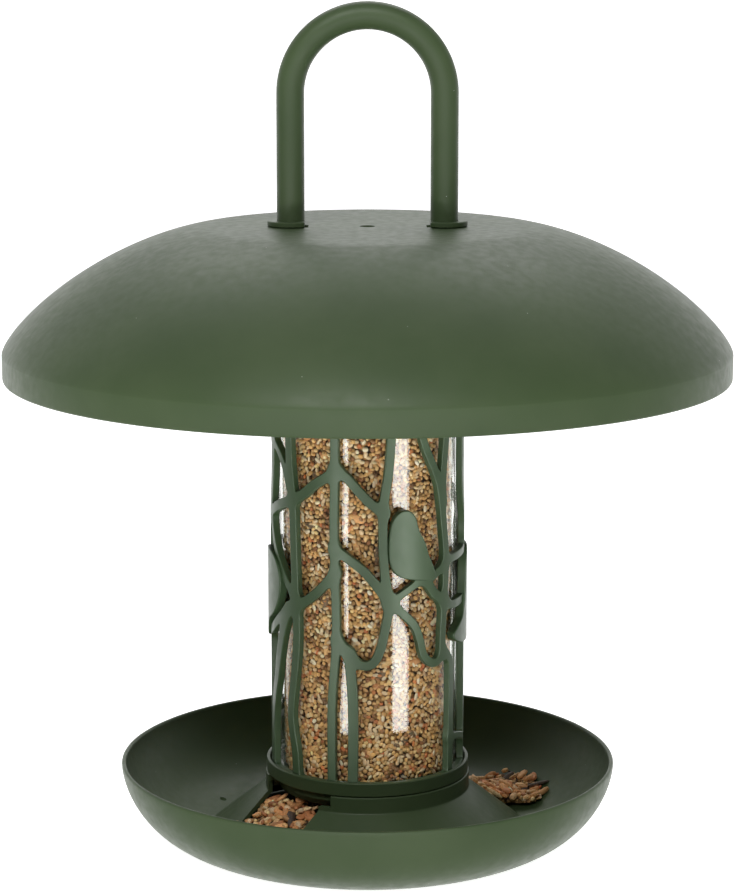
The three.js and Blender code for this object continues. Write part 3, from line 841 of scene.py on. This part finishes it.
def branch_field(u, v):
    """Signed distance to the openwork's edge, negative inside the plastic."""
    field = None
    for width, *points in BRANCHES:
        curve = through(points) * (PER_DEGREE, 1)
        stroke = distance_to(curve, u, v) - width / 2
        field = stroke if field is None else flow_together(field, stroke, JOINT_FILLET)
    for bottom, top in ((SLEEVE_FOOT_Z, COLLAR_TOP_Z - 0.6), (SLEEVE_TOP_Z - TOP_BAND, SLEEVE_TOP_Z)):
        field = flow_together(field, np.maximum(bottom - v, v - top), JOINT_FILLET / 2)
    return np.maximum(field, np.maximum(SLEEVE_FOOT_Z - v, v - SLEEVE_TOP_Z))


def bird_field(outline, u, v):
    """Signed distance to a bird's outline, negative inside it."""
    curve = through(outline, closed=True, steps=5) * (PER_DEGREE, 1)
    distance = distance_to(curve, u, v, closed=True)
    return np.where(is_inside(curve, u, v), -distance, distance)


def trace(field, u, v):
    """Cuts the grid along the zero line of a field that repeats after half a turn, for a whole turn.

    Returns the vertices as (along, z, outward along, outward z), the faces of the inside and the edges of
    its border. The outward direction is zero away from the border.
    """
    columns, rows = field.shape
    step_u = HALF_TURN / columns
    slope_u = (np.roll(field, -1, 0) - np.roll(field, 1, 0)) / (2 * step_u)
    slope_v = np.gradient(field, v[0, 1] - v[0, 0], axis=1)
    vertices, found, faces, border = [], {}, [], []

    def corner(i, j):
        key = (i % (2 * columns), j)
        if key not in found:
            found[key] = len(vertices)
            vertices.append((u[0, 0] + key[0] * step_u, v[0, j], 0.0, 0.0))
        return found[key]

    def crossing(i, j, k, l):
        if (i, j) > (k, l):
            i, j, k, l = k, l, i, j
        key = (i % (2 * columns), j, k - i, l - j)
        if key not in found:
            found[key] = len(vertices)
            a, b = field[i % columns, j], field[k % columns, l]
            t = min(max(a / (a - b), 0.02), 0.98)
            gu = (1 - t) * slope_u[i % columns, j] + t * slope_u[k % columns, l]
            gv = (1 - t) * slope_v[i % columns, j] + t * slope_v[k % columns, l]
            size = math.hypot(gu, gv) or 1.0
            place = (u[0, 0] + (key[0] + t * (k - i)) * step_u, v[0, j] + t * (v[0, l] - v[0, j]))
            vertices.append((*place, gu / size, gv / size))
        return found[key]

    for i in range(2 * columns):
        for j in range(rows - 1):
            ring = [(i, j), (i + 1, j), (i + 1, j + 1), (i, j + 1)]
            inside = [field[a % columns, b] < 0 for a, b in ring]
            if not any(inside):
                continue
            face, cuts = [], []
            for n, (here, ahead) in enumerate(zip(ring, ring[1:] + ring[:1])):
                if inside[n]:
                    face.append(corner(*here))
                if inside[n] != inside[(n + 1) % 4]:
                    cuts.append((crossing(*here, *ahead), inside[n]))
                    face.append(cuts[-1][0])
            faces.append(face)
            for n, (cut, leaving) in enumerate(cuts):
                if leaving:
                    border.append((cut, cuts[(n + 1) % len(cuts)][0]))
    return np.array(vertices), faces, border


def directions(turn):
    """Unit vectors away from the Z axis and along the turn, one row for each angle in radians."""
    radial = np.stack([np.sin(turn), -np.cos(turn), 0 * turn], 1)
    tangent = np.stack([np.cos(turn), np.sin(turn), 0 * turn], 1)
    return radial, tangent


def wrapped_sheet(name, field, u, v, outer, inner, edge):
    """A closed sheet of a field's inside, wrapped round the Z axis between two radii, with rounded edges."""
    flat, faces, border = trace(field + edge, u, v)
    count = len(flat)
    bends = spaced(0, math.pi / 2, 3)
    levels = [(edge * math.sin(b), outer - edge * (1 - math.cos(b)), b) for b in bends]
    levels += [(reach, outer + inner - radius, math.pi - b) for reach, radius, b in levels[::-1]]
    rim = sorted({vertex for pair in border for vertex in pair})
    slot_of = {vertex: n for n, vertex in enumerate(rim)}
    points, normals = [], []

    def place(vertices, reach, radius, bend):
        along = vertices[:, 0] + vertices[:, 2] * reach
        radial, tangent = directions(along / SLEEVE_RADIUS)
        points.append(radial * radius + np.outer(vertices[:, 1] + vertices[:, 3] * reach, (0, 0, 1)))
        outward = tangent * vertices[:, 2:3] + np.outer(vertices[:, 3], (0, 0, 1))
        normals.append(radial * math.cos(bend) + outward * math.sin(bend))

    place(flat, *levels[0])
    place(flat, *levels[-1])
    for level in levels[1:-1]:
        place(flat[rim], *level)

    def index(level, vertex):
        if level == 0:
            return vertex
        if level == len(levels) - 1:
            return count + vertex
        return 2 * count + (level - 1) * len(rim) + slot_of[vertex]

    skin = faces + [[count + k for k in face[::-1]] for face in faces]
    for a, b in border:
        for level in range(len(levels) - 1):
            skin.append([index(level, b), index(level, a), index(level + 1, a), index(level + 1, b)])
    mesh = bpy.data.meshes.new(name)
    mesh.from_pydata(np.vstack(points) * MM, [], skin)
    mesh.polygons.foreach_set("use_smooth", [True] * len(mesh.polygons))
    mesh.normals_split_custom_set_from_vertices(np.vstack(normals))
    return new_object(name, mesh)


def make_branch_sleeve():
    """The openwork, and its birds as plates that stand proud of it."""
    u, v = on_grid()
    bore = SLEEVE_RADIUS - SLEEVE_WALL
    sleeve = wrapped_sheet("branch_sleeve_openwork", branch_field(u, v), u, v, SLEEVE_RADIUS, bore, SOFT_EDGE)
    birds = []
    for name, outline in zip(("front_birds", "side_birds"), BIRDS):
        field = bird_field(outline, u, v)
        outer, inner = SLEEVE_RADIUS + BIRD_PROUD, bore + BIRD_SINK
        birds.append(wrapped_sheet(f"branch_sleeve_{name}", field, u, v, outer, inner, BIRD_EDGE))
    return sleeve, birds


# ---------- seed ----------


def grain_shape(length, width, thickness, rings, sides, point=1.0, crease=0.0):
    """Points and faces of a grain along X. `point` sharpens its ends, `crease` sinks a groove in one side."""
    points, faces = [(-length / 2, 0, 0)], []
    for i in range(1, rings):
        t = i / rings
        fullness = math.sin(math.pi * t) ** point
        for k in range(sides):
            turn = 2 * math.pi * k / sides
            sink = 1 - crease * max(0, math.cos(turn)) ** 4
            points.append(
                (
                    -length / 2 * math.cos(math.pi * t),
                    width / 2 * fullness * math.sin(turn),
                    thickness / 2 * fullness * math.cos(turn) * sink,
                )
            )
    points.append((length / 2, 0, 0))
    last = len(points) - 1
    for k in range(sides):
        m = (k + 1) % sides
        faces.append((0, 1 + m, 1 + k))
        for i in range(rings - 2):
            a, b = 1 + i * sides + k, 1 + i * sides + m
            faces.append((a, b, b + sides))
            faces.append((a, b + sides, a + sides))
        faces.append((last - sides + k, last - sides + m, last))
    return np.array(points, float), np.array(faces)


MILLET = grain_shape(2.0, 1.75, 1.5, 4, 5, 0.8)
WHEAT = grain_shape(6.2, 2.9, 2.5, 7, 8, 0.75, 0.45)
OAT = grain_shape(8.6, 2.4, 2.0, 7, 7, 1.15, 0.3)
CRUMB = grain_shape(3.4, 2.6, 2.0, 4, 6, 0.6)
SUNFLOWER = grain_shape(8.8, 4.0, 2.4, 7, 8, 0.9)
HUSK = grain_shape(2.8, 1.7, 0.7, 4, 5, 0.8)

# Each kind of grain with its husk colours.
PALE_MILLET = (
    MILLET,
    ((232, 190, 122), (240, 208, 146), (222, 174, 104), (244, 222, 178), (208, 164, 106)),
)
RED_MILLET = (MILLET, ((196, 96, 44), (206, 118, 60), (150, 84, 46)))
BROWN_MILLET = (MILLET, ((122, 80, 52), (96, 64, 46), (146, 98, 62)))
PALE_HUSKS = (HUSK, ((244, 226, 190), (232, 208, 172), (250, 240, 214)))
WHEAT_GRAINS = (WHEAT, ((216, 148, 90), (226, 166, 108), (198, 126, 76), (232, 184, 130)))
OAT_GRAINS = (OAT, ((226, 184, 124), (210, 160, 100), (236, 202, 150)))
CRUMBS = (CRUMB, ((226, 176, 116), (204, 148, 92), (240, 204, 146), (182, 118, 72), (228, 196, 156)))
BLACK_SEEDS = (SUNFLOWER, ((38, 32, 32), (52, 44, 42), (70, 60, 54)))

# The mixture in the tube: kinds and their shares, how far apart the grains lie and how deep behind the wall.
LARGE_KINDS = (WHEAT_GRAINS, OAT_GRAINS, CRUMBS, BLACK_SEEDS)
LARGE_SHARES = (0.34, 0.14, 0.42, 0.1)
LARGE_SPACING = 5.2
LARGE_DEPTH = 1.2
LARGE_KEPT = 0.52  # share of the large grains' places that are filled
SMALL_KINDS = (PALE_MILLET, RED_MILLET, BROWN_MILLET, PALE_HUSKS)
SMALL_SHARES = (0.68, 0.09, 0.1, 0.13)
SMALL_SPACING = 1.42
SMALL_DEPTH = 0.9
SEED_PLAY = 0.1  # between the tube's wall and the grains
CORE_DEPTH = 1.7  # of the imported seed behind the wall

# Layers of a spilt heap: kinds, shares, spacing, and how far a grain's height varies.
SPILT_LAYERS = (
    ((CRUMBS, WHEAT_GRAINS), (0.5, 0.5), 2.6, 1.2),
    ((WHEAT_GRAINS, OAT_GRAINS, CRUMBS, BLACK_SEEDS), (0.4, 0.2, 0.28, 0.12), 3.4, 0.6),
    ((PALE_MILLET, RED_MILLET), (0.7, 0.3), 3.2, 0.6),
)
SPILT_SINK = 0.4  # of the grains into the heap's surface
SPILT_CORE_SINK = 0.9
SPILT_LUMP = 1.2
SPILT_SHARP = 60


class GrainHeap:
    """Collects grains of a few kinds into one mesh, which keeps each grain's colour."""

    def __init__(self, seed):
        self.random = np.random.default_rng(seed)
        self.points, self.faces, self.tints = [], [], []
        self.count = 0

    def add(self, kind, centres, along, across, spread=0.18):
        """Grains at the centres: long axes `along`, thin axes `across`, and sizes varied by `spread`."""
        (shape, faces), tones = kind
        n = len(centres)
        if n == 0:
            return
        side = np.cross(across, along)
        side /= np.linalg.norm(side, axis=1)[:, None]
        across = np.cross(along, side)
        size = 1 + spread * self.random.standard_normal((n, 1, 3)).clip(-2, 2)
        local = shape[None] * size
        axes = np.stack([along, side, across], 1)
        self.points.append((np.einsum("nki,nij->nkj", local, axes) + centres[:, None]).reshape(-1, 3))
        offsets = self.count + len(shape) * np.arange(n)[:, None, None]
        self.faces.append((faces[None] + offsets).reshape(-1, 3))
        self.count += n * len(shape)
        tone = np.array([colour(*t)[:3] for t in tones])[self.random.integers(len(tones), size=n)]
        tone = tone * (1 + 0.16 * self.random.standard_normal((n, 1))).clip(0.6, 1.4)
        self.tints.append(np.repeat(tone, len(shape), axis=0))

    def piece(self, name):
        mesh = bpy.data.meshes.new(name)
        mesh.from_pydata(np.vstack(self.points) * MM, [], np.vstack(self.faces))
        tint = mesh.attributes.new("tint", "FLOAT_COLOR", "POINT")
        tones = np.vstack(self.tints).clip(0, 1)
        tint.data.foreach_set("color", np.hstack([tones, np.ones((len(tones), 1))]).ravel())
        mesh.polygons.foreach_set("use_smooth", [True] * len(mesh.polygons))
        return new_object(name, mesh)


def pick(random, shares, count):
    """For each of `count` grains, the number of its kind, drawn by the kinds' shares."""
    return random.choice(len(shares), size=count, p=np.array(shares) / sum(shares))


def spaced_places(random, width, bottom, top, spacing, repeats=True, tries=5):
    """Random places (along, z) in a band, no two nearer than the spacing, which repeats round the tube."""
    taken, places = {}, []
    wanted = int(tries * width * (top - bottom) / spacing**2)
    columns = max(1, int(width / spacing))
    for along, z in zip(random.uniform(0, width, wanted), random.uniform(bottom, top, wanted)):
        i, j = int(along / width * columns), int((z - bottom) / spacing)
        near = [
            other
            for di in (-1, 0, 1)
            for dj in (-1, 0, 1)
            for other in taken.get(((i + di) % columns if repeats else i + di, j + dj), ())
        ]
        if all(
            math.hypot(min(abs(along - a), width - abs(along - a)) if repeats else along - a, z - b) > spacing
            for a, b in near
        ):
            taken.setdefault((i, j), []).append((along, z))
            places.append((along, z))
    return np.array(places)


def tube_grains(heap, kinds, shares, places, radius, depth):
    """Grains pressed against the inside of the tube, lying along its wall and turned at random."""
    random = heap.random
    kind_of = pick(random, shares, len(places))
    for number, kind in enumerate(kinds):
        spots = places[kind_of == number]
        n = len(spots)
        radial, tangent = directions(spots[:, 0] / radius)
        lie = random.uniform(0, math.pi, n)[:, None]
        along = tangent * np.cos(lie) + np.array([0, 0, 1]) * np.sin(lie)
        along += radial * random.normal(0, 0.12, n)[:, None]
        along /= np.linalg.norm(along, axis=1)[:, None]
        thickness = np.ptp(kind[0][0][:, 2])
        inward = radius - thickness * 0.62 - random.uniform(0, depth, n)
        centres = radial * inward[:, None]
        centres[:, 2] = spots[:, 1]
        heap.add(kind, centres, along, radial)


def make_seed_in_tube():
    """The outer grains behind the clear wall and on top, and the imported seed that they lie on."""
    wall = TUBE_RADIUS - TUBE_WALL - SEED_PLAY
    around = 2 * math.pi * wall
    bottom, top = COLLAR_FLOOR_Z + 1.5, SEED_TOP_Z - 1
    large = GrainHeap(11)
    places = spaced_places(large.random, around, bottom, top, LARGE_SPACING, tries=3)
    kept = places[large.random.uniform(size=len(places)) < LARGE_KEPT]
    tube_grains(large, LARGE_KINDS, LARGE_SHARES, kept, wall, LARGE_DEPTH)
    bands = [GrainHeap(seed) for seed in (12, 13, 14)]
    tall = (top - bottom) / len(bands)
    for number, band in enumerate(bands):
        foot = bottom + number * tall
        places = spaced_places(band.random, around, foot, foot + tall, SMALL_SPACING, tries=6)
        tube_grains(band, SMALL_KINDS, SMALL_SHARES, places, wall, SMALL_DEPTH)

    def level_top(x, y):
        return SEED_TOP_Z - 1.4, Vector((0, 0, 1))

    for heap, kinds, shares, spacing in (
        (large, (WHEAT_GRAINS, CRUMBS, BLACK_SEEDS), (0.4, 0.5, 0.1), 7),
        (bands[-1], (PALE_MILLET, RED_MILLET), (0.8, 0.2), 2.2),
    ):
        spots = spaced_places(heap.random, 2 * wall, -wall, wall, spacing, repeats=False) - (wall, 0)
        spots = spots[np.hypot(*spots.T) < wall - 2]
        lie_flat(heap, kinds, shares, spots, level_top)
    foot, foot_radius, radius = low("seed_column").z, COLLAR_BORE - 1.5, wall - CORE_DEPTH
    profile = [(0, foot), (foot_radius, foot), (foot_radius, COLLAR_FLOOR_Z)]
    profile += [(radius, COLLAR_FLOOR_Z + 1), (radius, SEED_TOP_Z - 3), (0, SEED_TOP_Z - 2.2)]
    core = lathe("seed_in_tube_core", profile)
    millet = [band.piece(f"seed_in_tube_millet_{number}") for number, band in enumerate(bands)]
    return [large.piece("seed_in_tube_large"), *millet], core


def lie_flat(heap, kinds, shares, spots, surface, lift=0.5):
    """Grains at (x, y) spots, lying on a surface that gives its height and normal there, a little tumbled."""
    random = heap.random
    kind_of = pick(random, shares, len(spots))
    for number, kind in enumerate(kinds):
        centres, along, across = [], [], []
        for x, y in spots[kind_of == number]:
            found = surface(x, y)
            if found is None:
                continue
            z, normal = found
            tumbled = (normal + Vector(random.normal(0, 0.35, 3))).normalized()
            lie = random.uniform(0, 2 * math.pi)
            heading = Vector((math.cos(lie), math.sin(lie), 0))
            heading = (heading - tumbled * heading.dot(tumbled)).normalized()
            centres.append((x, y, z + random.uniform(-lift, lift)))
            along.append(heading)
            across.append(tumbled)
        if centres:
            heap.add(kind, np.array(centres), np.array(along), np.array(across))


def make_pile(name, node, seed):
    """Spilt seed on the shape of its CAD solid: a dark core of packed seed with painted shade between its
    cells, and grains lying all over its top.
    """
    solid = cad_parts[node]
    points = [vertex.co / MM for vertex in solid.data.vertices]
    tree = BVHTree.FromPolygons(points, [tuple(face.vertices) for face in solid.data.polygons])
    bottom, top = low(node), high(node)

    def surface(x, y):
        point, normal, _, _ = tree.ray_cast(Vector((x, y, top.z + 5)), Vector((0, 0, -1)))
        return None if point is None else (point.z - SPILT_SINK, normal)

    heap = GrainHeap(seed)
    width = (top - bottom).x
    for kinds, shares, spacing, lift in SPILT_LAYERS:
        spots = spaced_places(heap.random, width, bottom.y, top.y, spacing, repeats=False) + (bottom.x, 0)
        lie_flat(heap, kinds, shares, spots, surface, lift)
    grains = heap.piece(name + "_grains")
    core = new_object(name + "_core", solid.data.copy())
    lumps = core.modifiers.new("fine", "REMESH")
    lumps.mode = "VOXEL"
    lumps.voxel_size = SPILT_LUMP * MM
    bake_modifiers(core)
    outward = [vertex.normal.copy() for vertex in core.data.vertices]
    for vertex, normal in zip(core.data.vertices, outward):
        vertex.co -= normal * SPILT_CORE_SINK * MM
    smooth(core.data, SPILT_SHARP)
    return grains, core


# ---------- the object ----------


def build_object():
    """Makes all pieces, and returns those that mirror the strip lights."""
    green = moulded_plastic("green_plastic", colour(62, 78, 50), colour(70, 85, 57), 0.46, 0.02)
    branch = moulded_plastic("green_plastic_sleeve", colour(56, 75, 49), colour(62, 82, 54), 0.42, 0)
    # Lit and shaded copies of one husk: the tube's is lightened as painted light on the grains behind the
    # sleeve, and the spilt one is darker as painted shade on the heaps in the tray.
    spilt_seed_painted_shade = seed_skin("spilt_husk_painted_shade", colour(84, 50, 26), 0.12)
    tube_seed_painted_light = seed_skin("tube_husk_painted_light", colour(238, 158, 92), 0.65)
    packed = packed_seed()

    for make, body, node in (
        (make_tray, "tray", "tray"),
        (make_feed_cone, "tray", "feed_cone"),
        (make_seed_spreader, "tray", "seed_spreader"),
        (make_silo_collar, "silo", "silo_collar"),
        (make_top_ring, "silo", "top_ring"),
        (make_roof_dome, "roof", "roof_dome"),
        (make_handle, "roof", "hanger_handle"),
    ):
        settle(make(), green, "green_plastic", body, node)
    for name, node, number in (("pile_front", "seed_pile_front", 21), ("pile_rear", "seed_pile_rear", 22)):
        grains, core = make_pile(name, node, number)
        settle(grains, spilt_seed_painted_shade, "seed", "tray", node)
        settle(core, packed, "seed", "tray", node)
    grains, core = make_seed_in_tube()
    for piece in grains:
        settle(piece, tube_seed_painted_light, "seed", "silo", "seed_column")
    settle(core, packed, "seed", "silo", "seed_column")
    sleeve, birds = make_branch_sleeve()
    for piece in (sleeve, *birds):
        settle(piece, branch, "green_plastic", "silo", "branch_sleeve")
    tube = make_clear_tube()
    settle(tube, clear_plastic(), "clear_plastic", "silo", "clear_tube")
    return (tube, sleeve, *birds)


# ---------- camera, light and floor ----------

# Distances, heights and sizes here are in metres.
CAMERA_DISTANCE = 1.1634  # in front of the silo's axis
CAMERA_HEIGHT = 0.38881
CAMERA_DIP = 10.672  # degrees below level
LENS, SENSOR = 115.08, 36  # millimetres

# Softboxes: name, azimuth, distance, height, size, power in watts, and the height that they face.
SOFTBOXES = (
    ("back_softbox", 180, 1.1, 1.35, (1.3, 0.6), 6, 0.2),
    ("high_front_softbox", -10, 1.1, 1.32, (0.8, 0.5), 13, 0.1),
    ("low_front_softbox", -4, 1.5, 0.024, (2.2, 0.03), 7.6, 0.1),
)
STRIPS = ((-28.5, 0.034), (39.5, 0.057))  # azimuth and width
STRIP_REACH = 0.166
STRIP_TALL = 0.46
STRIP_FOOT = 0.004
STRIP_RADIANCE = 10

# The world's light by the direction looked in: its axis, the dim and the bright end, and the light at each.
WORLD_RAMPS = (("Y", -0.1, 0.95, 0.08, 2), ("Z", 0.35, 0, 0.5, 1))
FLOOR_SIZE = 30
FLOOR_DROP = 0.0005  # keeps the floor clear of the tray's flat bottom


def place_camera():
    camera = new_object("camera", bpy.data.cameras.new("camera"))
    camera.location = (0, -CAMERA_DISTANCE, CAMERA_HEIGHT)
    camera.rotation_euler = (math.radians(90 - CAMERA_DIP), 0, 0)
    camera.data.lens = LENS
    camera.data.sensor_width = SENSOR
    camera.data.clip_end = 100
    bpy.context.scene.camera = camera


def softbox(name, azimuth, distance, height, size, power, aim_height):
    """A rectangular light at an azimuth round the object, facing a point on the silo's axis."""
    light = bpy.data.lights.new(name, "AREA")
    light.shape = "RECTANGLE"
    light.size, light.size_y = size
    light.energy = power
    lamp = new_object(name, light)
    x, y, _ = on_cylinder(distance, azimuth, 0)
    lamp.location = (x, y, height)
    facing = Vector((0, 0, aim_height)) - lamp.location
    lamp.rotation_euler = facing.to_track_quat("-Z", "Y").to_euler()
    lamp.visible_camera = False
    return lamp


def strip_lights(mirrors):
    """Tall strips close to the silo that only the given pieces mirror, like softboxes in a studio."""
    mirroring = bpy.data.collections.new("mirrors_strips")
    for piece in mirrors:
        mirroring.objects.link(piece)
    middle = STRIP_TALL / 2 + STRIP_FOOT
    for azimuth, wide in STRIPS:
        power = STRIP_RADIANCE * math.pi * wide * STRIP_TALL
        strip = softbox("strip", azimuth, STRIP_REACH, middle, (wide, STRIP_TALL), power, middle)
        strip.visible_diffuse = False
        strip.light_linking.receiver_collection = mirroring


def studio_world():
    """White surroundings: bright behind the object, most of all low down, and dim in front of it."""
    s = Shader("studio", "worlds")
    direction = s.feed(s.add("SeparateXYZ"), Vector=s.place["Generated"]).outputs
    strength = s.add("Math", operation="MULTIPLY")
    for socket, (axis, *ramp) in zip(strength.inputs, WORLD_RAMPS):
        s.tree.links.new(s.spread(direction[axis], *ramp, shape="SMOOTHSTEP"), socket)
    background = s.feed(s.add("Background"), Color=WHITE, Strength=strength.outputs["Value"])
    bpy.context.scene.world = s.finish(background.outputs["Background"], "OutputWorld")


def light_scene(mirrors):
    studio_world()
    for box in SOFTBOXES:
        softbox(*box)
    strip_lights(mirrors)
    bpy.context.scene.view_settings.view_transform = "Standard"


def make_floor():
    mesh = bpy.data.meshes.new("floor")
    corners = [(x * FLOOR_SIZE, y * FLOOR_SIZE, 0) for x, y in ((-1, -1), (1, -1), (1, 1), (-1, 1))]
    mesh.from_pydata(corners, [], [(0, 1, 2, 3)])
    floor = new_object("floor", mesh)
    floor.location.z = -FLOOR_DROP
    s = Shader("white_floor")
    tone = s.mix(s.noise(3, 2), (0.86, 0.86, 0.86, 1), (0.9, 0.9, 0.9, 1))
    glow = {"Emission Color": WHITE, "Emission Strength": 0.95}
    surface = s.feed(s.add("BsdfPrincipled"), Base_Color=tone, Roughness=0.7, **glow)
    floor.data.materials.append(s.finish(surface.outputs["BSDF"]))
    floor.visible_glossy = False


place_camera()
light_scene(build_object())
make_floor()
